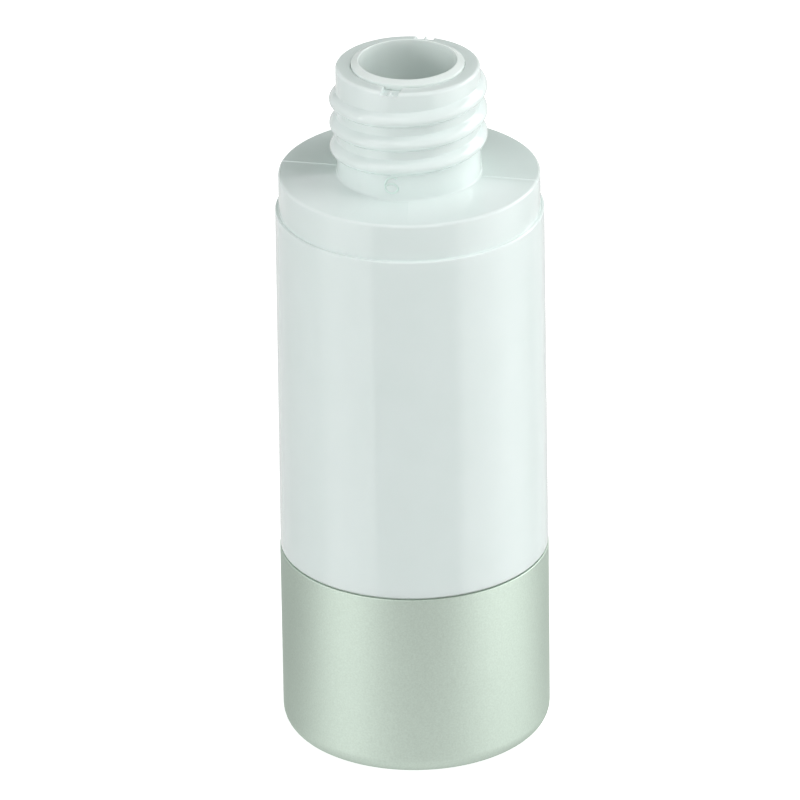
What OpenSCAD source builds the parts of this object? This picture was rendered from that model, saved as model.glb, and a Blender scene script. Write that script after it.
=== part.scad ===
// Double-walled airless bottle for creams and serums, shown without its pump and overcap.
// Millimetres, +Z up, origin at the centre of the foot.
// The two notches in the lip lie on the Y axis.

/* [Base] */
// Outer diameter of the metal base
base_d = 33.8; // [30:0.1:40]
// Height of the base, from the foot to its upper edge
base_h = 24.8; // [22:0.1:32]
// Radius of the rounded edge around the foot
base_edge_r = 2.2; // [1.2:0.1:3]
// Wall of the drawn metal shell
shell_wall = 0.4; // [0.3:0.05:0.6]
// Width of the flat ring that the bottle stands on
foot_ring_w = 3.3; // [2:0.1:5]
// Depth of the recessed panel inside the foot ring
foot_recess = 0.6; // [0.3:0.1:1]
// Diameter of the air hole in the shell
shell_vent_d = 3; // [2:0.1:4]

/* [Base insert] */
// Wall of the plastic insert inside the shell
insert_wall = 0.8; // [0.6:0.05:1.2]
// Floor thickness of the insert
insert_floor = 1.2; // [0.8:0.1:2]
// Diameter of the air hole in the insert
insert_vent_d = 1.6; // [1:0.1:1.9]
// Height of the collar around the foot of the inner bottle
collar_h = 4.5; // [2:0.1:5]
// Thickness of that collar
collar_t = 0.7; // [0.5:0.05:1]
// Number of ribs that the piston rests on
rib_count = 6; // [3:1:8]
// Height of those ribs
rib_h = 1; // [0.5:0.1:2]
// Thickness of those ribs
rib_t = 1; // [0.6:0.1:1.5]

/* [Outer bottle] */
// How far the body is set in from the base
body_step = 0.05; // [0:0.01:0.2]
// How far the body narrows from the seam to the ledge, per side
body_draft = 0.2; // [0:0.05:0.4]
// Height of the visible body, from the seam to the ledge
body_h = 46; // [30:0.5:60]
// Open seam between the base and the body
seam_gap = 0.2; // [0.1:0.05:0.4]
// Width of the ledge that the overcap lands on
ledge_w = 0.45; // [0.3:0.05:0.8]
// Height of the spigot that the overcap slides over
spigot_h = 4.8; // [3:0.1:8]
// Rounding around the top of the spigot
spigot_edge_r = 0.35; // [0.2:0.05:0.6]
// Thickness of the shoulder
shoulder_t = 1.8; // [1.2:0.1:2.5]
// Length of the skirt that plugs into the base
skirt_len = 15; // [12:0.5:16]
// Wall of that skirt
skirt_wall = 1; // [0.8:0.05:1.2]
// How far the inside of the body narrows towards the shoulder, per side
core_draft = 0.15; // [0:0.05:0.3]
// Height of the snap bead around the skirt
snap_h = 0.2; // [0.1:0.05:0.3]
// Distance of the snap bead below the seam
snap_drop = 8; // [5:0.5:10]

/* [Neck] */
// Outer diameter of the neck, between the turns of its thread
neck_d = 17.8; // [16:0.1:22]
// Height of the neck above the shoulder
neck_h = 14.3; // [12:0.1:18]
// Wall of the neck
neck_wall = 1.85; // [1.6:0.05:2.4]
// Rounding around the lip
lip_edge_r = 0.4; // [0.2:0.05:0.8]
// Rounding where the neck meets the shoulder
neck_root_r = 0.3; // [0.1:0.05:0.6]
// Width of each of the two notches in the lip
notch_w = 2.2; // [1.6:0.1:3]
// Depth of those notches
notch_depth = 0.6; // [0.4:0.05:1]
// Width of the pointed tooth inside each notch
tooth_w = 0.9; // [0.6:0.1:1.2]
// Height of that tooth
tooth_h = 0.5; // [0.3:0.05:0.6]
// Thickness of that tooth, inwards from the outside of the neck
tooth_t = 0.7; // [0.5:0.1:1]

/* [Inner bottle] */
// Wall of the inner bottle
inner_wall = 1.1; // [0.8:0.05:1.4]
// Thickness of its shoulder where it meets the mouth tube
inner_shoulder_t = 1.3; // [0.9:0.1:1.8]
// How far the roof of the chamber rises towards the mouth
roof_rise = 1.5; // [0.5:0.1:2.5]
// Wall of the mouth tube
mouth_wall = 0.95; // [0.7:0.05:1.2]
// How far the crest of the rim, at the mouth, stands above the lip
rim_h = 0.7; // [0.5:0.05:1]
// How far the rim's outer edge lies below its crest
rim_fall = 0.35; // [0.2:0.05:0.4]
// Rounding of the crest
rim_crest_r = 0.12; // [0.05:0.01:0.2]
// Rounding of the rim's outer edge
rim_edge_r = 0.15; // [0.05:0.05:0.2]

/* [Piston] */
// Height of the piston from its lower lip to its upper lip
piston_h = 11; // [9:0.1:16]
// Wall of the piston
piston_wall = 0.8; // [0.6:0.05:1]
// How far the piston's side is set in from its two lips
lip_relief = 0.45; // [0.3:0.05:0.7]
// Height of the straight land on each lip
lip_land_h = 0.8; // [0.4:0.1:1.2]
// Height of the flare behind each land
lip_flare_h = 1.6; // [1:0.1:2]
// Depth of the groove behind the upper lip
groove_depth = 2.1; // [1.5:0.1:3]
// Width of that groove at its floor
groove_w = 0.8; // [0.5:0.1:1.2]
// How far the middle of the crown stands above the upper lip
crown_rise = 1.3; // [0.4:0.1:1.4]
// Diameter of the flat in the middle of the crown
crown_flat_d = 12; // [8:0.5:14]

/* [Fits] */
// Radial clearance between the piston's lips and the inner bottle
running_gap = 0.05; // [0.02:0.01:0.09]
// Radial clearance between plastic parts that are pushed together
slip_gap = 0.05; // [0.02:0.01:0.08]
// Air gap between the inner and the outer bottle at the shoulder
jacket_gap = 0.4; // [0.2:0.05:0.8]
// Gap between the piston and its ribs when it is all the way down
stop_gap = 0.1; // [0.05:0.05:0.3]

/* [Hidden] */
$fn = 96;

// Radii of the nested walls, from the outside to the chamber
base_r = base_d / 2;
insert_r = base_r - shell_wall;
socket_r = insert_r - insert_wall;
skirt_r = socket_r - slip_gap;
cavity_r = skirt_r - skirt_wall;
cavity_top_r = cavity_r - core_draft;
inner_r = cavity_top_r - jacket_gap;
chamber_r = inner_r - inner_wall;
lip_r = chamber_r - running_gap;

body_r = base_r - body_step;
body_top_r = body_r - body_draft;
spigot_r = body_top_r - ledge_w;

neck_r = neck_d / 2;
neck_bore_r = neck_r - neck_wall;
tube_r = neck_bore_r - slip_gap;
mouth_r = tube_r - mouth_wall;

// Heights of the parts' seats
floor_z = foot_recess + shell_wall;
insert_floor_z = floor_z + insert_floor;
seam_z = base_h + seam_gap;
ledge_z = seam_z + body_h;
shoulder_z = ledge_z + spigot_h;
shoulder_seat_z = shoulder_z - shoulder_t;
lip_z = shoulder_z + neck_h;
rim_z = lip_z + rim_h;
snap_z = seam_z - snap_drop;
piston_z = insert_floor_z + rib_h + stop_gap;

// Small breaks on moulded and turned edges
edge_break = 0.15;
lead_in = 0.3;
snap_land = 0.4;
snap_ramp = 0.6;
eps = 0.01;

// Points along an arc about c = [r, z], from angle a0 to a1
function arc(c, r, a0, a1, steps = 6) =
    [for (i = [0:steps]) let (a = a0 + (a1 - a0) * i / steps) c + r * [cos(a), sin(a)]];

// Snap bead or groove on a wall of radius r, from its lower to its upper end
function snap_points(r) = [
    [r, snap_z - snap_land / 2 - snap_ramp],
    [r + snap_h, snap_z - snap_land / 2],
    [r + snap_h, snap_z + snap_land / 2],
    [r, snap_z + snap_land / 2 + snap_ramp]
];

// Drawn metal cup with a raised panel and an air hole in its bottom
module base_shell() {
    foot_r = base_r - base_edge_r;
    panel_r = foot_r - foot_ring_w;
    edge = [foot_r, base_edge_r];
    color("silver")
        rotate_extrude()
            polygon(concat(
                [[shell_vent_d / 2, foot_recess],
                 [panel_r - foot_recess, foot_recess],
                 [panel_r, 0]],
                arc(edge, base_edge_r, -90, 0),
                [[base_r, base_h - edge_break],
                 [base_r - edge_break, base_h],
                 [insert_r, base_h]],
                arc(edge, base_edge_r - shell_wall, 0, -90),
                [[panel_r, shell_wall],
                 [panel_r - foot_recess, floor_z],
                 [shell_vent_d / 2, floor_z]]
            ));
}

// Moulded cup inside the shell: socket for the outer bottle, seat for the inner one
module base_insert() {
    collar_r = inner_r + slip_gap;
    collar_z = insert_floor_z + collar_h;
    color("whitesmoke") {
        rotate_extrude()
            polygon(concat(
                [[insert_vent_d / 2, floor_z],
                 [base_r - base_edge_r, floor_z],
                 [insert_r, base_edge_r],
                 [insert_r, seam_z],
                 [socket_r + lead_in, seam_z],
                 [socket_r, seam_z - lead_in]],
                [for (i = [3:-1:0]) snap_points(socket_r)[i]],
                [[socket_r, insert_floor_z],
                 [collar_r + collar_t, insert_floor_z],
                 [collar_r + collar_t, collar_z],
                 [collar_r + lead_in, collar_z],
                 [collar_r, collar_z - lead_in],
                 [collar_r, insert_floor_z],
                 [insert_vent_d / 2, insert_floor_z]]
            ));
        for (i = [0:rib_count - 1])
            rotate([0, 0, i * 360 / rib_count])
                translate([insert_vent_d, -rib_t / 2, insert_floor_z - eps])
                    cube([chamber_r - insert_vent_d - lead_in, rib_t, rib_h + eps]);
    }
}

// Glossy outer bottle: skirt, body, overcap spigot, shoulder and neck in one moulding
module outer_bottle() {
    skirt_z = seam_z - skirt_len;
    color("white") {
        difference() {
            rotate_extrude()
                polygon(concat(
                    [[cavity_r, skirt_z],
                     [skirt_r - lead_in, skirt_z],
                     [skirt_r, skirt_z + lead_in]],
                    snap_points(skirt_r),
                    [[skirt_r, seam_z],
                     [body_r - edge_break, seam_z],
                     [body_r, seam_z + edge_break],
                     [body_top_r, ledge_z - edge_break],
                     [body_top_r - edge_break, ledge_z],
                     [spigot_r, ledge_z]],
                    arc([spigot_r - spigot_edge_r, shoulder_z - spigot_edge_r], spigot_edge_r, 0, 90),
                    arc([neck_r + neck_root_r, shoulder_z + neck_root_r], neck_root_r, -90, -180),
                    arc([neck_r - lip_edge_r, lip_z - lip_edge_r], lip_edge_r, 0, 90),
                    [[neck_bore_r, lip_z],
                     [neck_bore_r, shoulder_seat_z],
                     [cavity_top_r, shoulder_seat_z]]
                ));
            lip_notches();
        }
        lip_teeth();
    }
}

// The two notches that cross the lip
module lip_notches() {
    for (side = [0, 180])
        rotate([0, 0, side])
            translate([-notch_w / 2, -neck_r - 1, lip_z - notch_depth])
                cube([notch_w, neck_wall + 1 + eps, notch_depth + 1]);
}

// The pointed tooth in the middle of each notch
module lip_teeth() {
    for (side = [0, 180])
        rotate([0, 0, side])
            translate([0, -neck_r + edge_break + tooth_t, lip_z - notch_depth - eps])
                rotate([90, 0, 0])
                    linear_extrude(tooth_t)
                        polygon([[-tooth_w / 2, 0], [tooth_w / 2, 0], [0, tooth_h + eps]]);
}

// Inner bottle: straight chamber for the piston, sloping roof and mouth tube, whose rim is
// a cone that seals against the pump at its crest
module inner_bottle() {
    roof_z = shoulder_seat_z - inner_shoulder_t;
    slope = atan(rim_fall / (mouth_wall - rim_crest_r - rim_edge_r));
    color("ivory")
        rotate_extrude()
            polygon(concat(
                [[chamber_r + lead_in, insert_floor_z],
                 [inner_r, insert_floor_z],
                 [inner_r, shoulder_seat_z - lead_in],
                 [inner_r - lead_in, shoulder_seat_z],
                 [tube_r, shoulder_seat_z]],
                arc([tube_r - rim_edge_r, rim_z - rim_fall - rim_edge_r], rim_edge_r, 0, 90 - slope),
                arc([mouth_r + rim_crest_r, rim_z - rim_crest_r], rim_crest_r, 90 - slope, 180),
                [[mouth_r, roof_z],
                 [chamber_r, roof_z - roof_rise],
                 [chamber_r, insert_floor_z + lead_in]]
            ));
}

// Follower piston: two wiping lips, a groove that lets the upper lip flex, a raised crown
module piston() {
    side_r = lip_r - lip_relief;
    hollow_r = side_r - piston_wall;
    groove_floor_z = piston_h - groove_depth;
    crown_r = hollow_r - groove_w;
    crown_z = piston_h + crown_rise;
    crown_flat_r = crown_flat_d / 2;
    color("gainsboro")
        translate([0, 0, piston_z])
            rotate_extrude()
                polygon([
                    [0, crown_z - piston_wall],
                    [crown_flat_r - piston_wall / 2, crown_z - piston_wall],
                    [crown_r - piston_wall, piston_h - piston_wall],
                    [crown_r - piston_wall, groove_floor_z - piston_wall],
                    [hollow_r, groove_floor_z - piston_wall],
                    [hollow_r, lip_land_h],
                    [side_r - lip_relief / 2, 0],
                    [lip_r, 0],
                    [lip_r, lip_land_h],
                    [side_r, lip_land_h + lip_flare_h],
                    [side_r, groove_floor_z - piston_wall / 2],
                    [lip_r, piston_h - lip_land_h],
                    [lip_r, piston_h],
                    [lip_r - lip_relief, piston_h],
                    [hollow_r, groove_floor_z],
                    [crown_r, groove_floor_z],
                    [crown_r, piston_h],
                    [crown_flat_r, crown_z],
                    [0, crown_z]
                ]);
}

base_shell();
base_insert();
outer_bottle();
inner_bottle();
piston();
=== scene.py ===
import math

import bmesh
import bpy
import numpy as np
from mathutils import Matrix, Vector


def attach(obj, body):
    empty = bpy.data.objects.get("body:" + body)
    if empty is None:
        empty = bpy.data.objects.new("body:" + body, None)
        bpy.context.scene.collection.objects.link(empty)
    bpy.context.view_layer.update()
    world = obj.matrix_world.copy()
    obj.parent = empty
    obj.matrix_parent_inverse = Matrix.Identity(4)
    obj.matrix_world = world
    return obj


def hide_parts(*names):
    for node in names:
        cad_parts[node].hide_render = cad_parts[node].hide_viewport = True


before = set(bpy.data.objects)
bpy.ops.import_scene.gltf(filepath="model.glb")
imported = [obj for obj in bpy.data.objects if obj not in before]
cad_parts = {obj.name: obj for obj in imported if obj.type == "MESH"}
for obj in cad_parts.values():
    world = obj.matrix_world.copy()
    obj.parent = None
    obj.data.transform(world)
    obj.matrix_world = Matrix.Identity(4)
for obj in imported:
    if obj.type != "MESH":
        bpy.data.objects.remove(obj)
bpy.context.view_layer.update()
# Camera and studio sizes are in metres, and the sizes of the pieces in millimetres.
MM = 0.001


# Camera: a long lens from well above, turned a little to the right of the front notch. It leans
# by less than a degree, as the photograph's does.
CAMERA_AZIMUTH = math.radians(15.2)
CAMERA_ELEVATION = math.radians(25.98)
CAMERA_LEAN = math.radians(-0.86)
CAMERA_DISTANCE = 1124.4 * MM
AIM_ASIDE = -1.556 * MM
AIM_HEIGHT = 44.3 * MM
SENSOR_WIDTH = 36
LENS = 405
NEAREST_SEEN = 0.05
FARTHEST_SEEN = 20

level = Vector((math.cos(CAMERA_AZIMUTH), math.sin(CAMERA_AZIMUTH), 0))
to_camera = Vector((
    math.sin(CAMERA_AZIMUTH) * math.cos(CAMERA_ELEVATION),
    -math.cos(CAMERA_AZIMUTH) * math.cos(CAMERA_ELEVATION),
    math.sin(CAMERA_ELEVATION),
))
upward = to_camera.cross(level)
camera_right = math.cos(CAMERA_LEAN) * level + math.sin(CAMERA_LEAN) * upward
camera_up = to_camera.cross(camera_right)
camera = bpy.data.objects.new("Camera", bpy.data.cameras.new("Camera"))
bpy.context.scene.collection.objects.link(camera)
camera.data.sensor_width = SENSOR_WIDTH
camera.data.lens = LENS
camera.data.clip_start = NEAREST_SEEN
camera.data.clip_end = FARTHEST_SEEN
turn = Matrix((camera_right, camera_up, to_camera)).transposed().to_4x4()
aim = AIM_ASIDE * level + Vector((0, 0, AIM_HEIGHT))
camera.matrix_world = Matrix.Translation(aim + CAMERA_DISTANCE * to_camera) @ turn
bpy.context.scene.camera = camera
bpy.context.scene.view_settings.view_transform = "Standard"


# Studio: a pale painted floor and seven soft lamps that light the bottle without showing in it.
# What shows in its gloss is apart from them: three sheens for the metal, a ring of lit silk below
# the floor's level, which the upright walls mirror, a strip above, a white sheet and a dark card.
FLOOR_SIDE = 3.0
FLOOR_DROP = 0.02 * MM
FLOOR_PALE = "#DCDEDD"
FLOOR_GLOW = 0.7
WORLD_FILL = 0.37
LAMP_DISTANCE = 0.8
RING_R = 0.7
RING_STEPS = 240
TENT_LOW = -0.62
TENT_TOP = -0.02
TENT_PANELS = [
    (-181, 1, -95, 60, 0.8),
    (-135, 40, 181, 1, 0.42),
    (-92, 24, -31, 3, 0.8),
    (34, 14, 130, 45, 1.1),
    (120, 20, 176, 6, 0.3),
]
STRIP_LOW = 0.68
STRIP_TOP = 0.86
STRIP_PANELS = [(-95, 25, 0, 15, 3.5)]
SHEET_R = 0.08
SHEET_Z = -0.03
SHEET_ASIDE = 0.015
SHEET_AZIMUTH = 30
SHEET_LEVEL = 0.9
SHEET_CORNERS = 72
CARD_DISTANCE = 0.9
CARD_HALF_WIDTH = 0.5
CARD_LOW = 0.2
CARD_TOP = 0.502
CARD_GREEN = "#4E7452"


def linear(hex_colour):
    """An sRGB hex colour as the linear RGBA that a socket takes."""
    parts = [int(hex_colour[i:i + 2], 16) / 255 for i in (1, 3, 5)]
    return [c / 12.92 if c <= 0.04045 else ((c + 0.055) / 1.055) ** 2.4 for c in parts] + [1.0]


def add_node(tree, kind, sockets=None, **settings):
    """Adds a node, sets its properties, and gives each named input a value or a link."""
    node = tree.nodes.new(kind)
    for name, value in settings.items():
        setattr(node, name, value)
    for name, value in (sockets or {}).items():
        if isinstance(value, bpy.types.NodeSocket):
            tree.links.new(value, node.inputs[name])
        else:
            node.inputs[name].default_value = value
    return node


def blank_material(name):
    """A material with an empty node tree, and that tree."""
    material = bpy.data.materials.new(name)
    material.use_nodes = True
    material.node_tree.nodes.clear()
    return material, material.node_tree


def add_object(name, data):
    """An object for that data, linked to the scene."""
    obj = bpy.data.objects.new(name, data)
    bpy.context.scene.collection.objects.link(obj)
    return obj


def seen_directly(tree):
    """1 for camera, mirror and see-through rays, 0 for the rays that carry light."""
    ray = add_node(tree, "ShaderNodeLightPath")
    seen = ray.outputs["Is Camera Ray"]
    for kind in ("Is Glossy Ray", "Is Transmission Ray"):
        either = add_node(tree, "ShaderNodeMath", {0: seen, 1: ray.outputs[kind]}, operation="MAXIMUM")
        seen = either.outputs[0]
    return seen


def outward(azimuth, elevation=0.0):
    """The direction at that azimuth, in degrees to the camera's right, and that elevation."""
    angle = math.radians(azimuth) + CAMERA_AZIMUTH
    rise = math.radians(elevation)
    return Vector((math.sin(angle) * math.cos(rise), -math.cos(angle) * math.cos(rise), math.sin(rise)))


def ease(t):
    """0 to 1 with level ends."""
    t = np.clip(t, 0, 1)
    return t * t * (3 - 2 * t)


def soft_lamp(name, azimuth, elevation, side, radiance, lights=True, mirrored=False):
    """A square lamp in that direction from the foot, facing it. It lights surfaces, or is mirrored."""
    direction = outward(azimuth, elevation)
    lamp = add_object(name, bpy.data.lights.new(name, "AREA"))
    lamp.data.size = side
    lamp.data.energy = radiance * math.pi * side * side
    lamp.location = direction * LAMP_DISTANCE
    lamp.rotation_mode = "QUATERNION"
    lamp.rotation_quaternion = direction.to_track_quat("Z", "Y")
    lamp.visible_camera = False
    lamp.visible_diffuse = lights
    lamp.visible_glossy = mirrored


half_side = FLOOR_SIDE / 2
floor_corners = [(-half_side, -half_side, 0), (half_side, -half_side, 0),
                 (half_side, half_side, 0), (-half_side, half_side, 0)]
floor_mesh = bpy.data.meshes.new("Floor")
floor_mesh.from_pydata(floor_corners, [], [(0, 1, 2, 3)])
floor = add_object("Floor", floor_mesh)
floor.location.z = -FLOOR_DROP
floor.visible_glossy = False
paint, tree = blank_material("Matt white paint")
flat = add_node(tree, "ShaderNodeBsdfDiffuse", {"Color": linear(FLOOR_PALE)})
glow_level = add_node(tree, "ShaderNodeMath", {0: seen_directly(tree), 1: FLOOR_GLOW}, operation="MULTIPLY")
glow = add_node(tree, "ShaderNodeEmission", {"Strength": glow_level.outputs[0]})
both = add_node(tree, "ShaderNodeAddShader", {0: flat.outputs[0], 1: glow.outputs[0]})
add_node(tree, "ShaderNodeOutputMaterial", {"Surface": both.outputs[0]})
floor_mesh.materials.append(paint)

world = bpy.data.worlds.new("Studio")
bpy.context.scene.world = world
world.use_nodes = True
tree = world.node_tree
tree.nodes.clear()
world_level = add_node(tree, "ShaderNodeMapRange", {
    "Value": seen_directly(tree), "To Min": WORLD_FILL, "To Max": 1.0})
sky = add_node(tree, "ShaderNodeBackground", {"Strength": world_level.outputs["Result"]})
add_node(tree, "ShaderNodeOutputWorld", {"Surface": sky.outputs[0]})

soft_lamp("Lamp left", -62, 15, 0.3, 7.2)
soft_lamp("Lamp front left", -30, 50, 0.3, 2.4)
soft_lamp("Lamp front", 5, 12, 0.3, 1.0)
soft_lamp("Lamp overhead", 20, 75, 0.4, 0.5)
soft_lamp("Lamp right", 75, 15, 0.3, 5.0)
soft_lamp("Lamp rear right", 110, 12, 0.3, 4.3)
soft_lamp("Key above right", 74, 54, 0.45, 3.3)
soft_lamp("Sheen left", -62, 15, 0.4, 4.2, lights=False, mirrored=True)
soft_lamp("Sheen right", 75, 15, 0.55, 1.4, lights=False, mirrored=True)
soft_lamp("Sheen rear right", 110, 25, 0.55, 2.75, lights=False, mirrored=True)

silk, tree = blank_material("Lit white silk")
silk.cycles.emission_sampling = "NONE"
level_here = add_node(tree, "ShaderNodeAttribute", attribute_name="level")
shine = add_node(tree, "ShaderNodeEmission", {"Strength": level_here.outputs["Fac"]})
add_node(tree, "ShaderNodeOutputMaterial", {"Surface": shine.outputs[0]})


def mirrored_only(name, corners, faces, levels, material):
    """A lit or dark card that shows in reflections and nowhere else."""
    mesh = bpy.data.meshes.new(name)
    mesh.from_pydata([tuple(c) for c in corners], [], faces)
    mesh.attributes.new("level", "FLOAT", "POINT").data.foreach_set("value", levels)
    mesh.materials.append(material)
    obj = add_object(name, mesh)
    obj.visible_camera = obj.visible_diffuse = obj.visible_shadow = obj.visible_transmission = False


def lit_ring(name, low, high, panels):
    """A standing ring of silk between two heights, lit where its panels are. A panel runs between
    two azimuths, each followed by the angle over which it fades, and ends with its brightness."""
    corners = []
    levels = []
    for step in range(RING_STEPS):
        azimuth = step * 360 / RING_STEPS - 180
        way = outward(azimuth) * RING_R
        corners += [way + Vector((0, 0, low)), way + Vector((0, 0, high))]
        levels += 2 * [sum(glow * ease((azimuth - start) / start_fade) * ease((end - azimuth) / end_fade)
                           for start, start_fade, end, end_fade, glow in panels)]
    count = len(corners)
    around = [(i, i + 1, (i + 3) % count, (i + 2) % count) for i in range(0, count, 2)]
    mirrored_only(name, corners, around, levels, silk)


lit_ring("Reflection_tent", TENT_LOW, TENT_TOP, TENT_PANELS)
lit_ring("Reflection_strip", STRIP_LOW, STRIP_TOP, STRIP_PANELS)
sheet_middle = outward(SHEET_AZIMUTH) * SHEET_ASIDE + Vector((0, 0, SHEET_Z))
sheet_corners = [sheet_middle + outward(i * 360 / SHEET_CORNERS) * SHEET_R for i in range(SHEET_CORNERS)]
sheet_levels = [SHEET_LEVEL] * SHEET_CORNERS
mirrored_only("White_sheet", sheet_corners, [tuple(range(SHEET_CORNERS))], sheet_levels, silk)

felt = bpy.data.materials.new("Dark felt")
felt.use_nodes = True
felt.node_tree.nodes["Principled BSDF"].inputs["Base Color"].default_value = linear(CARD_GREEN)
card_middle = outward(180) * CARD_DISTANCE
card_side = outward(90) * CARD_HALF_WIDTH
card_corners = [card_middle + way * card_side + Vector((0, 0, height))
                for way, height in ((-1, CARD_LOW), (1, CARD_LOW), (1, CARD_TOP), (-1, CARD_TOP))]
mirrored_only("Dark_card", card_corners, [(0, 1, 2, 3)], [0] * 4, felt)


# Base shell: a deep-drawn aluminium cup, satin anodised. Its rolled bottom edge stands on a
# flat ring, and the panel inside the ring is pressed up, with the hole that lets air in.
BASE_R = 16.9
BASE_TOP = 24.8
SHELL_WALL = 0.4
SHELL_R = BASE_R - SHELL_WALL
BOTTOM_EDGE_R = 2.2
FOOT_RING = 3.3
FOOT_RECESS = 0.6
SHELL_VENT_R = 1.5
TURNS_FINE = 288
TURNS_PLAIN = 192
HOLD = 0.07
SHARP_EDGE = 32
ANODISED_DARK = "#C1CFC3"
ANODISED_LIGHT = "#D7E5DA"
ANODISED_SHEEN = "#BEBEBE"
GRIT = 0.22
GRIT_DEPTH = 0.03
CLOUD = 9.0


def rounded(corners, steps=7):
    """A closed (radius, height) outline from corners (r, z, fillet). A long straight side gets a
    point just beside each fillet, so that it shades flat."""
    outline = []
    count = len(corners)
    for i, (r, z, fillet) in enumerate(corners):
        here = Vector((r, z))
        before = Vector(corners[i - 1][:2]) - here
        after = Vector(corners[(i + 1) % count][:2]) - here
        if fillet <= 0:
            outline.append(here)
            continue
        half_angle = before.angle(after) / 2
        reach = fillet / math.tan(half_angle)
        spare = min(before.length, after.length) - reach
        before.normalize()
        after.normalize()
        middle = here + (before + after).normalized() * fillet / math.sin(half_angle)
        first = here + before * reach - middle
        sweep = first.angle_signed(here + after * reach - middle)
        if spare > 3 * HOLD:
            outline.append(here + before * (reach + HOLD))
        for k in range(steps + 1):
            arm = first.copy()
            arm.rotate(Matrix.Rotation(-sweep * k / steps, 2))
            outline.append(middle + arm)
        if spare > 3 * HOLD:
            outline.append(here + after * (reach + HOLD))
    return np.array([tuple(p) for p in outline])


def mesh_from_grid(name, x, y, z, closed=True):
    """A mesh on grids of points whose last axis goes once round; closed joins the first axis too."""
    rows, columns = x.shape
    points = np.stack([x, y, z], -1).reshape(-1, 3) * MM
    faces = []
    for i in range(rows if closed else rows - 1):
        low, high = i * columns, (i + 1) % rows * columns
        for j in range(columns):
            k = (j + 1) % columns
            faces.append((low + j, low + k, high + k, high + j))
    mesh = bpy.data.meshes.new(name)
    mesh.from_pydata(points.tolist(), [], faces)
    mesh.update()
    return mesh


def tidy_surface(obj, crease=SHARP_EDGE):
    """Joins points on the axis, turns the faces outwards and shades smooth, except at real edges."""
    bm = bmesh.new()
    bm.from_mesh(obj.data)
    bmesh.ops.remove_doubles(bm, verts=bm.verts, dist=1e-7)
    bmesh.ops.dissolve_degenerate(bm, edges=bm.edges, dist=1e-8)
    bmesh.ops.recalc_face_normals(bm, faces=bm.faces)
    bm.to_mesh(obj.data)
    bm.free()
    obj.data.shade_smooth()
    obj.data.set_sharp_from_angle(angle=math.radians(crease))
    return obj


def turned(name, outline, turns=TURNS_PLAIN):
    """A piece turned from a closed outline of (radius, height) points, in millimetres."""
    angle = np.linspace(0, 2 * math.pi, turns, endpoint=False)
    r = np.repeat(outline[:, :1], turns, 1)
    z = np.repeat(outline[:, 1:], turns, 1)
    return tidy_surface(add_object(name, mesh_from_grid(name, r * np.cos(angle), r * np.sin(angle), z)))


def finish_piece(piece, body, node, material):
    """Gives a piece its material and its body, and hides the CAD node that it stands for, if any."""
    piece.data.materials.clear()
    piece.data.materials.append(material)
    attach(piece, body)
    if node:
        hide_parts(node)


def satin_anodised_aluminium():
    """Anodised over a fine blast: bright metal whose highlights spread wide, with a sandy grain.
    The blast's grit is about 0.05 mm. It is drawn at 0.22 mm, the finest that shows here."""
    material, tree = blank_material("Satin anodised aluminium")
    place = add_node(tree, "ShaderNodeTexCoord").outputs["Object"]
    grit = add_node(tree, "ShaderNodeTexNoise", {
        "Vector": place, "Scale": 1 / (GRIT * MM), "Detail": 2.0})
    cloud = add_node(tree, "ShaderNodeTexNoise", {
        "Vector": place, "Scale": 1 / (CLOUD * MM), "Detail": 2.0})
    tint = add_node(tree, "ShaderNodeMix", {
        0: grit.outputs["Fac"], 6: linear(ANODISED_DARK), 7: linear(ANODISED_LIGHT)}, data_type="RGBA")
    rough = add_node(tree, "ShaderNodeMapRange", {
        "Value": cloud.outputs["Fac"], "To Min": 0.50, "To Max": 0.54})
    bump = add_node(tree, "ShaderNodeBump", {
        "Height": grit.outputs["Fac"], "Strength": 0.10, "Distance": GRIT_DEPTH * MM})
    skin = add_node(tree, "ShaderNodeBsdfPrincipled", {
        "Base Color": tint.outputs[2],
        "Metallic": 1.0,
        "Specular Tint": linear(ANODISED_SHEEN),
        "Roughness": rough.outputs["Result"],
        "Normal": bump.outputs["Normal"],
    })
    add_node(tree, "ShaderNodeOutputMaterial", {"Surface": skin.outputs[0]})
    return material


foot_r = BASE_R - BOTTOM_EDGE_R
panel_r = foot_r - FOOT_RING
shell_outline = rounded([
    (SHELL_VENT_R, FOOT_RECESS, 0.08),
    (panel_r - FOOT_RECESS, FOOT_RECESS, 0.4),
    (panel_r, 0, 0.5),
    (BASE_R, 0, BOTTOM_EDGE_R),
    (BASE_R, BASE_TOP, 0.12),
    (SHELL_R, BASE_TOP, 0.12),
    (SHELL_R, SHELL_WALL, BOTTOM_EDGE_R - SHELL_WALL),
    (panel_r, SHELL_WALL, 0.5),
    (panel_r - FOOT_RECESS, FOOT_RECESS + SHELL_WALL, 0.4),
    (SHELL_VENT_R, FOOT_RECESS + SHELL_WALL, 0.08),
], steps=9)
base_shell = turned("Base_shell", shell_outline, TURNS_FINE)
finish_piece(base_shell, "bottle", "base_shell", satin_anodised_aluminium())


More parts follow.
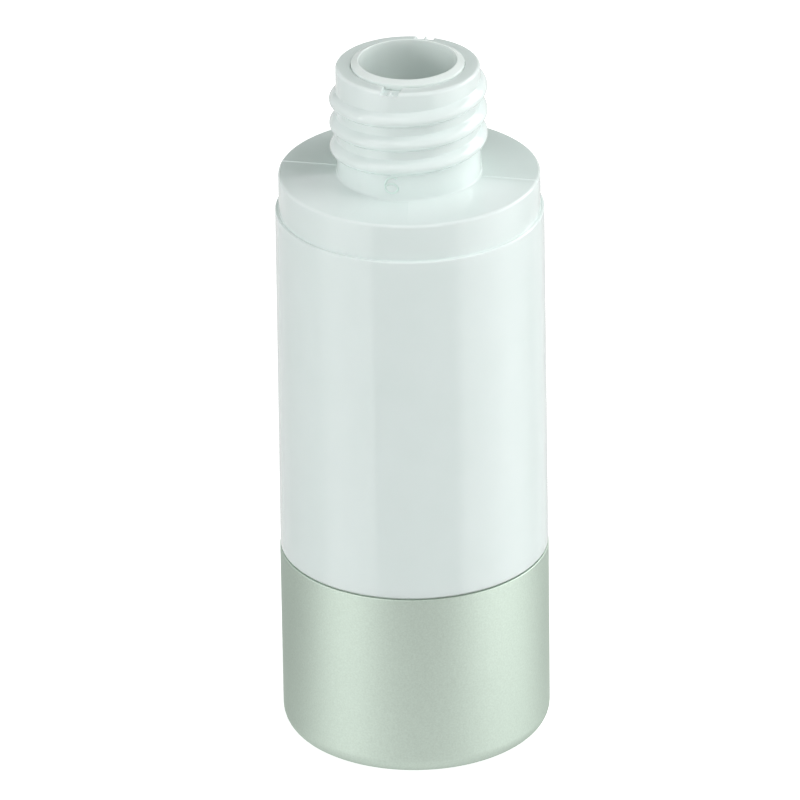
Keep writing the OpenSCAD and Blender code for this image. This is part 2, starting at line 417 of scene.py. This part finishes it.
# Base insert: a moulded polypropylene cup pressed into the shell. The outer bottle snaps into
# its groove, the inner bottle stands in its collar, and its ribs stop the piston.
INSERT_WALL = 0.8
SOCKET_R = SHELL_R - INSERT_WALL
FLOOR_Z = FOOT_RECESS + SHELL_WALL
INSERT_FLOOR_Z = FLOOR_Z + 1.2
SEAM_Z = BASE_TOP + 0.2
SNAP_Z = SEAM_Z - 8.0
SNAP_H = 0.2
SNAP_LAND = 0.4
SNAP_RAMP = 0.6
INSERT_VENT_R = 0.8
COLLAR_R = 14.15
COLLAR_WALL = 0.7
COLLAR_TOP = INSERT_FLOOR_Z + 4.5
RIBS = 6
RIB_H = 1.0
RIB_T = 1.0
RIB_IN_R = 1.7
RIB_OUT_R = 12.7
RIB_ROOT = 0.1
RIB_EDGE = 0.12
LIGHT_DEPTH = 1.5
FINE_SHARE = 0.1


def snap_corners(r, fillet=0.12):
    """The snap bead, or its groove, on a wall of that radius, from its lower to its upper end."""
    return [
        (r, SNAP_Z - SNAP_LAND / 2 - SNAP_RAMP, fillet),
        (r + SNAP_H, SNAP_Z - SNAP_LAND / 2, fillet),
        (r + SNAP_H, SNAP_Z + SNAP_LAND / 2, fillet),
        (r, SNAP_Z + SNAP_LAND / 2 + SNAP_RAMP, fillet),
    ]


def moulded_plastic(name, colours, ior, roughness, wave, grain, depth):
    """Injection-moulded plastic. Its colour drifts between two values where the melt flowed, and the
    mould's polish gives the gloss, from smooth to rough. Wave and grain are the sizes of its ripple
    and of its fine texture, and depth is the ripple's, all in mm."""
    material, tree = blank_material(name)
    place = add_node(tree, "ShaderNodeTexCoord").outputs["Object"]
    ripple = add_node(tree, "ShaderNodeTexNoise", {
        "Vector": place, "Scale": 1 / (wave * MM), "Detail": 1.0})
    fine = add_node(tree, "ShaderNodeTexNoise", {
        "Vector": place, "Scale": 1 / (grain * MM), "Detail": 2.0})
    colour = add_node(tree, "ShaderNodeMix", {
        0: ripple.outputs["Fac"], 6: linear(colours[0]), 7: linear(colours[1])}, data_type="RGBA")
    rough = add_node(tree, "ShaderNodeMapRange", {
        "Value": fine.outputs["Fac"], "To Min": roughness[0], "To Max": roughness[1]})
    broad = add_node(tree, "ShaderNodeBump", {
        "Height": ripple.outputs["Fac"], "Strength": 0.3, "Distance": depth * MM})
    bump = add_node(tree, "ShaderNodeBump", {
        "Height": fine.outputs["Fac"], "Strength": 0.3, "Distance": FINE_SHARE * depth * MM,
        "Normal": broad.outputs["Normal"]})
    skin = add_node(tree, "ShaderNodeBsdfPrincipled", {
        "Base Color": colour.outputs[2],
        "Roughness": rough.outputs["Result"],
        "IOR": ior,
        "Subsurface Weight": 0.3,
        "Subsurface Radius": (1.0, 1.0, 1.0),
        "Subsurface Scale": LIGHT_DEPTH * MM,
        "Normal": bump.outputs["Normal"],
    })
    add_node(tree, "ShaderNodeOutputMaterial", {"Surface": skin.outputs[0]})
    return material


insert_outline = rounded([
    (INSERT_VENT_R, FLOOR_Z, 0),
    (foot_r, FLOOR_Z, 0.6),
    (SHELL_R, BOTTOM_EDGE_R, 0.6),
    (SHELL_R, SEAM_Z, 0.1),
    (SOCKET_R, SEAM_Z, 0.25),
    *reversed(snap_corners(SOCKET_R)),
    (SOCKET_R, INSERT_FLOOR_Z, 0.25),
    (COLLAR_R + COLLAR_WALL, INSERT_FLOOR_Z, 0.25),
    (COLLAR_R + COLLAR_WALL, COLLAR_TOP, 0.15),
    (COLLAR_R, COLLAR_TOP, 0.3),
    (COLLAR_R, INSERT_FLOOR_Z, 0.15),
    (INSERT_VENT_R, INSERT_FLOOR_Z, 0.1),
], steps=5)
base_insert = turned("Base_insert", insert_outline)
polypropylene = moulded_plastic("Natural polypropylene, as moulded", ("#DDE5DF", "#E6EDE8"),
                                ior=1.49, roughness=(0.32, 0.4), wave=6, grain=0.4, depth=0.03)
finish_piece(base_insert, "bottle", "base_insert", polypropylene)


def rounded_bar(name, start_r, end_r, width, low, high, angle, edge=RIB_EDGE):
    """A rib with rounded edges that lies along a radius at that angle."""
    mesh = bpy.data.meshes.new(name)
    corners = [(r, s * width / 2, z) for r in (start_r, end_r) for s in (-1, 1) for z in (low, high)]
    spin = Matrix.Rotation(angle, 3, "Z")
    mesh.from_pydata([tuple(spin @ Vector(c) * MM) for c in corners], [],
                     [(0, 1, 3, 2), (4, 6, 7, 5), (0, 4, 5, 1), (2, 3, 7, 6), (1, 5, 7, 3), (0, 2, 6, 4)])
    bar = add_object(name, mesh)
    bevel = bar.modifiers.new("Edges", "BEVEL")
    bevel.width = edge * MM
    bevel.segments = 3
    shown = bar.evaluated_get(bpy.context.evaluated_depsgraph_get())
    bar.data = bpy.data.meshes.new_from_object(shown)
    bar.modifiers.clear()
    return tidy_surface(bar)


for i in range(RIBS):
    rib = rounded_bar("Insert_rib_%d" % (i + 1), RIB_IN_R, RIB_OUT_R, RIB_T,
                      INSERT_FLOOR_Z - RIB_ROOT, INSERT_FLOOR_Z + RIB_H, i * 2 * math.pi / RIBS)
    finish_piece(rib, "bottle", None, polypropylene)


# Outer bottle: one white moulding in a polished two-part mould, glossy all over. Its skirt snaps
# into the base, and body, ledge, shoulder and threaded neck follow upwards in one wall.
SKIRT_R = 15.65
SKIRT_BOTTOM = 10.0
CAVITY_R = 14.65
CAVITY_TOP_R = 14.5
BODY_R = 16.85
BODY_TOP_R = 16.65
LEDGE_Z = 71.0
SPIGOT_R = 16.2
SPIGOT_EDGE_R = 0.35
SHOULDER_Z = 75.8
SHOULDER_SEAT_Z = 74.0
NECK_R = 8.9
NECK_BORE_R = 7.05
NECK_ROOT_R = 0.3
LIP_Z = 90.1
LIP_EDGE_R = 0.4
THREAD_PITCH = 3.175
THREAD_LEFT = -90
THREAD_LEFT_Z = 79.3
THREAD_START = -150.0
THREAD_END = 900.0
THREAD_HEIGHT = 0.85
THREAD_LOWER_HALF = 0.92
THREAD_UPPER_HALF = 1.12
THREAD_STEP = 0.09
THREAD_IN_FADE = 35
THREAD_OUT_FADE = 80
THREAD_ROOT = 0.08
PARTING_H = 0.08
PARTING_W = 0.14
PARTING_TURN = 2.8
PARTING_COLUMNS = (-0.9, -0.5, -0.25, 0, 0.25, 0.5, 0.9)
SHOULDER_FALL = 0.08
SAME_R = 1e-4
NEAR = 0.01
NOTCH_W = 2.2
NOTCH_DEPTH = 0.45
NOTCH_CORNER = 0.14
NOTCH_CORNER_MIDDLE = 0.04
NOTCH_FLARE = 0.15
NOTCH_FLARE_OUT = 0.05
NOTCH_FLARE_DOWN = 0.04
ABOVE_LIP = 0.01
CUT_PAST = 0.5
TOOTH_W = 0.6
TOOTH_TIP_W = 0.12
TOOTH_H = 0.44
TOOTH_T = 0.7
TOOTH_ROOT = 0.05
TOOTH_INSET = 0.12


def bend_up(t, reach):
    """0 below and t above, turning from one to the other over that reach on each side of 0."""
    return np.where(t < -reach, 0, np.where(t > reach, t, (t + reach) ** 2 / (4 * reach)))


def thread_relief(azimuth, z):
    """How far the thread stands proud at that azimuth from the camera, in degrees, and height."""
    proud = np.zeros(np.broadcast(azimuth, z).shape)
    for turn_count in range(-1, 4):
        run = azimuth + 360 * turn_count
        crest = THREAD_LEFT_Z + THREAD_PITCH * (run - THREAD_LEFT) / 360
        fade = ease((run - THREAD_START) / THREAD_IN_FADE) * ease((THREAD_END - run) / THREAD_OUT_FADE)
        off = z - crest
        share = np.where(off < 0, -off / THREAD_LOWER_HALF, off / THREAD_UPPER_HALF)
        flank = bend_up(1 - share ** 2, THREAD_ROOT)
        proud = np.maximum(proud, THREAD_HEIGHT * fade * flank)
    return proud


neck_low = SHOULDER_Z + NECK_ROOT_R + HOLD
neck_high = LIP_Z - LIP_EDGE_R - HOLD
neck_rows = np.linspace(neck_low, neck_high, int((neck_high - neck_low) / THREAD_STEP))
outside = rounded([
    (CAVITY_R, SKIRT_BOTTOM, 0.15),
    (SKIRT_R, SKIRT_BOTTOM, 0.3),
    *snap_corners(SKIRT_R),
    (SKIRT_R, SEAM_Z, 0.1),
    (BODY_R, SEAM_Z, 0.14),
    (BODY_TOP_R, LEDGE_Z, 0.2),
    (SPIGOT_R, LEDGE_Z, 0.08),
    (SPIGOT_R, SHOULDER_Z, SPIGOT_EDGE_R),
    (NECK_R, SHOULDER_Z, NECK_ROOT_R),
    (NECK_R, LIP_Z, LIP_EDGE_R),
    (NECK_BORE_R, LIP_Z, 0.05),
    (NECK_BORE_R, SHOULDER_SEAT_Z, 0.2),
    (CAVITY_TOP_R, SHOULDER_SEAT_Z, 0.3),
], steps=8)
between = (outside[:, 1] > neck_low - NEAR) & (outside[:, 1] < neck_high + NEAR)
on_neck = (np.abs(outside[:, 0] - NECK_R) < SAME_R) & between
first, last = np.flatnonzero(on_neck)[[0, -1]]
neck_points = np.stack([np.full(len(neck_rows), NECK_R), neck_rows], 1)
outline = np.concatenate([outside[:first], neck_points, outside[last + 1:]])

steps_round = np.linspace(0, 360, TURNS_FINE, endpoint=False)
near_line = PARTING_TURN + np.array(PARTING_COLUMNS)
polar = np.sort(np.unique(np.concatenate([steps_round, near_line % 360, near_line + 180])))
r = np.repeat(outline[:, :1], len(polar), 1)
z = np.repeat(outline[:, 1:], len(polar), 1)
proud = thread_relief((polar + 90 - math.degrees(CAMERA_AZIMUTH))[None, :], z)
r = r + np.where((np.abs(r - NECK_R) < SAME_R) & (z > neck_low) & (z < neck_high), proud, 0)
from_line = r * np.radians(np.abs((polar - PARTING_TURN + 90) % 180 - 90))[None, :]
ridge = PARTING_H * (1 - ease(from_line / PARTING_W))
on_top = (z > SHOULDER_Z - SPIGOT_EDGE_R - NEAR) & (z < SHOULDER_Z + NECK_ROOT_R + NEAR)
on_shoulder = on_top & (r > NECK_R + NECK_ROOT_R) & (r < SPIGOT_R + NEAR)
turn_angle = np.radians(polar)[None, :]
drop = SHOULDER_FALL * np.abs(np.sin(turn_angle)) * r / SPIGOT_R
z = z + np.where(on_shoulder, ridge - drop, 0)
bottle_mesh = mesh_from_grid("Outer_bottle", r * np.cos(turn_angle), r * np.sin(turn_angle), z)
outer_bottle = tidy_surface(add_object("Outer_bottle", bottle_mesh))


def prism(name, outline_xz, y_low, y_high):
    """A closed solid with that outline in X and Z, between two depths in Y."""
    count = len(outline_xz)
    points = [(x * MM, y * MM, z * MM) for y in (y_low, y_high) for x, z in outline_xz]
    faces = [tuple(range(count)), tuple(reversed(range(count, 2 * count)))]
    faces += [(i, i + count, (i + 1) % count + count, (i + 1) % count) for i in range(count)]
    mesh = bpy.data.meshes.new(name)
    mesh.from_pydata(points, [], faces)
    return tidy_surface(add_object(name, mesh))


def carve(piece, tool, operation):
    """Cuts a tool from a piece, or joins it on, and removes the tool."""
    step = piece.modifiers.new("Shape", "BOOLEAN")
    step.operation = operation
    step.solver = "EXACT"
    step.object = tool
    shown = piece.evaluated_get(bpy.context.evaluated_depsgraph_get())
    piece.data = bpy.data.meshes.new_from_object(shown)
    piece.modifiers.clear()
    bpy.data.objects.remove(tool)


notch_floor = LIP_Z - NOTCH_DEPTH
notch_half = NOTCH_W / 2
right_side = [
    (notch_half - NOTCH_CORNER, notch_floor),
    (notch_half - NOTCH_CORNER_MIDDLE, notch_floor + NOTCH_CORNER_MIDDLE),
    (notch_half, notch_floor + NOTCH_CORNER),
    (notch_half, LIP_Z - NOTCH_FLARE),
    (notch_half + NOTCH_FLARE_OUT, LIP_Z - NOTCH_FLARE_DOWN),
    (notch_half + NOTCH_FLARE, LIP_Z + ABOVE_LIP),
    (notch_half + NOTCH_FLARE, LIP_Z + CUT_PAST),
]
notch_outline = right_side + [(-x, z) for x, z in reversed(right_side)]
tooth_outline = [
    (-TOOTH_W / 2, notch_floor - TOOTH_ROOT), (TOOTH_W / 2, notch_floor - TOOTH_ROOT),
    (TOOTH_TIP_W / 2, notch_floor + TOOTH_H), (-TOOTH_TIP_W / 2, notch_floor + TOOTH_H),
]
tooth_out = NECK_R - TOOTH_INSET
for side in (-1, 1):
    y_low, y_high = sorted((side * (NECK_BORE_R - CUT_PAST), side * (NECK_R + CUT_PAST)))
    carve(outer_bottle, prism("Notch", notch_outline, y_low, y_high), "DIFFERENCE")
    y_low, y_high = sorted((side * (tooth_out - TOOTH_T), side * tooth_out))
    carve(outer_bottle, prism("Tooth", tooth_outline, y_low, y_high), "UNION")
tidy_surface(outer_bottle)
glossy_white = moulded_plastic("Gloss white ABS, polished mould", ("#E6F1EE", "#EAF4F2"),
                               ior=1.58, roughness=(0.04, 0.07), wave=5, grain=0.35, depth=0.012)
finish_piece(outer_bottle, "bottle", "outer_bottle", glossy_white)


# Cavity number: the figure that the mould's cavity leaves on the neck, raised a tenth of a
# millimetre from the same moulding, below the thread and in line with the front notch. Its white is painted
# lighter than the wall's, a painted highlight on its raised strokes.
FIGURE_Z = 77.76
FIGURE_STROKE_R = 0.14
FIGURE_SINK = 0.05
FIGURE_CREASE = 60
FIGURE_PATH = [
    (0.8, 0.86), (0.65, 1.04), (0.2, 1.09), (-0.27, 0.89), (-0.59, 0.44), (-0.73, -0.11), (-0.66, -0.64),
    (-0.32, -0.99), (0.15, -1.09), (0.65, -0.96), (0.96, -0.55), (0.89, -0.09), (0.5, 0.17), (0.1, 0.22),
    (-0.33, 0.09), (-0.64, -0.22),
]
figure_curve = bpy.data.curves.new("Cavity_number", "CURVE")
figure_curve.dimensions = "3D"
figure_curve.bevel_depth = FIGURE_STROKE_R * MM
figure_curve.bevel_resolution = 3
figure_curve.use_fill_caps = True
stroke = figure_curve.splines.new("NURBS")
stroke.points.add(len(FIGURE_PATH) - 1)
stroke.order_u = 4
stroke.resolution_u = 6
stroke.use_endpoint_u = True
figure_r = NECK_R - FIGURE_SINK
for point, (across, up) in zip(stroke.points, FIGURE_PATH):
    bend = across / figure_r
    point.co = (figure_r * math.sin(bend) * MM, -figure_r * math.cos(bend) * MM, (FIGURE_Z + up) * MM, 1)
curve_object = add_object("Cavity_number_curve", figure_curve)
shown = curve_object.evaluated_get(bpy.context.evaluated_depsgraph_get())
cavity_number = add_object("Cavity_number", bpy.data.meshes.new_from_object(shown))
bpy.data.objects.remove(curve_object)
tidy_surface(cavity_number, FIGURE_CREASE)
# The figure's colours are painted lighter than the wall's, a painted highlight for the light its raised
# strokes catch; its higher roughness is the real unpolished cut in the mould.
unpolished_white_painted_highlight = moulded_plastic("White ABS, unpolished where the figure is cut",
                                   ("#EAFFF8", "#EEFFFA"), ior=1.58, roughness=(0.08, 0.12),
                                   wave=5, grain=0.35, depth=0.012)
finish_piece(cavity_number, "bottle", None, unpolished_white_painted_highlight)


# Inner bottle: a moulded polypropylene barrel hung in the outer one. The piston climbs in its
# straight bore, and its mouth tube comes up through the neck and stands just above the lip.
INNER_R = 14.1
CHAMBER_R = 13.0
TUBE_R = 7.0
MOUTH_R = 6.05
RIM_Z = 90.8
RIM_CREST_R = 0.12
RIM_CREST_CORNER = 0.07
RIM_EDGE_Z = 90.45
RIM_EDGE_R = 0.15
RIM_EDGE_CORNER = 0.06
ROOF_Z = 72.7
ROOF_RISE = 1.5
TURNS_INNER = 240
inner_outline = rounded([
    (CHAMBER_R, INSERT_FLOOR_Z, 0.25),
    (INNER_R, INSERT_FLOOR_Z, 0.1),
    (INNER_R, SHOULDER_SEAT_Z, 0.3),
    (TUBE_R, SHOULDER_SEAT_Z, 0.1),
    (TUBE_R, RIM_EDGE_Z - RIM_EDGE_CORNER, RIM_EDGE_R),
    (MOUTH_R, RIM_Z + RIM_CREST_CORNER, RIM_CREST_R),
    (MOUTH_R, ROOF_Z, 0.4),
    (CHAMBER_R, ROOF_Z - ROOF_RISE, 0.5),
], steps=8)
inner_bottle = turned("Inner_bottle", inner_outline, TURNS_INNER)
satin_white = moulded_plastic("White polypropylene, satin", ("#E9F4F0", "#EDF7F3"),
                              ior=1.5, roughness=(0.2, 0.26), wave=5, grain=0.4, depth=0.02)
finish_piece(inner_bottle, "bottle", "inner_bottle", satin_white)


# Follower piston: a soft polyethylene moulding that climbs the inner bottle as it empties.
# Two thin lips wipe the bore; the groove behind the upper one lets it flex outwards.
PISTON_BOTTOM = 3.3
PISTON_H = 11.0
PISTON_LIP_R = 12.95
PISTON_LIP_H = 0.8
UPPER_LIP_T = 0.45
LOWER_LIP_T = 0.225
WAIST = 2.4
WAIST_TOP_GAP = 0.4
SIDE_R = 12.5
PISTON_WALL = 0.8
HOLLOW_R = SIDE_R - PISTON_WALL
GROOVE_FLOOR = PISTON_H - 2.1
GROOVE_W = 0.8
CROWN_R = HOLLOW_R - GROOVE_W
CROWN_FLAT_R = 6.0
CROWN_TOP = PISTON_H + 1.3
CROWN_INSIDE_STEP = 0.4
piston_outline = rounded([
    (0, CROWN_TOP - PISTON_WALL, 0),
    (CROWN_FLAT_R - CROWN_INSIDE_STEP, CROWN_TOP - PISTON_WALL, 0.8),
    (CROWN_R - PISTON_WALL, PISTON_H - PISTON_WALL, 0.5),
    (CROWN_R - PISTON_WALL, GROOVE_FLOOR - PISTON_WALL, 0.2),
    (HOLLOW_R, GROOVE_FLOOR - PISTON_WALL, 0.2),
    (HOLLOW_R, PISTON_LIP_H, 0.2),
    (SIDE_R - LOWER_LIP_T, 0, 0.06),
    (PISTON_LIP_R, 0, 0.12),
    (PISTON_LIP_R, PISTON_LIP_H, 0.2),
    (SIDE_R, WAIST, 0.6),
    (SIDE_R, GROOVE_FLOOR - WAIST_TOP_GAP, 0.6),
    (PISTON_LIP_R, PISTON_H - PISTON_LIP_H, 0.2),
    (PISTON_LIP_R, PISTON_H, 0.12),
    (PISTON_LIP_R - UPPER_LIP_T, PISTON_H, 0.08),
    (HOLLOW_R, GROOVE_FLOOR, 0.15),
    (CROWN_R, GROOVE_FLOOR, 0.15),
    (CROWN_R, PISTON_H, 0.4),
    (CROWN_FLAT_R, CROWN_TOP, 1.2),
    (0, CROWN_TOP, 0),
], steps=5)
piston_outline[:, 1] += PISTON_BOTTOM
piston = turned("Piston", piston_outline)
polyethylene = moulded_plastic("Soft white polyethylene", ("#DCE2DF", "#E3E8E5"),
                               ior=1.51, roughness=(0.38, 0.46), wave=4, grain=0.35, depth=0.03)
finish_piece(piston, "piston", "piston", polyethylene)
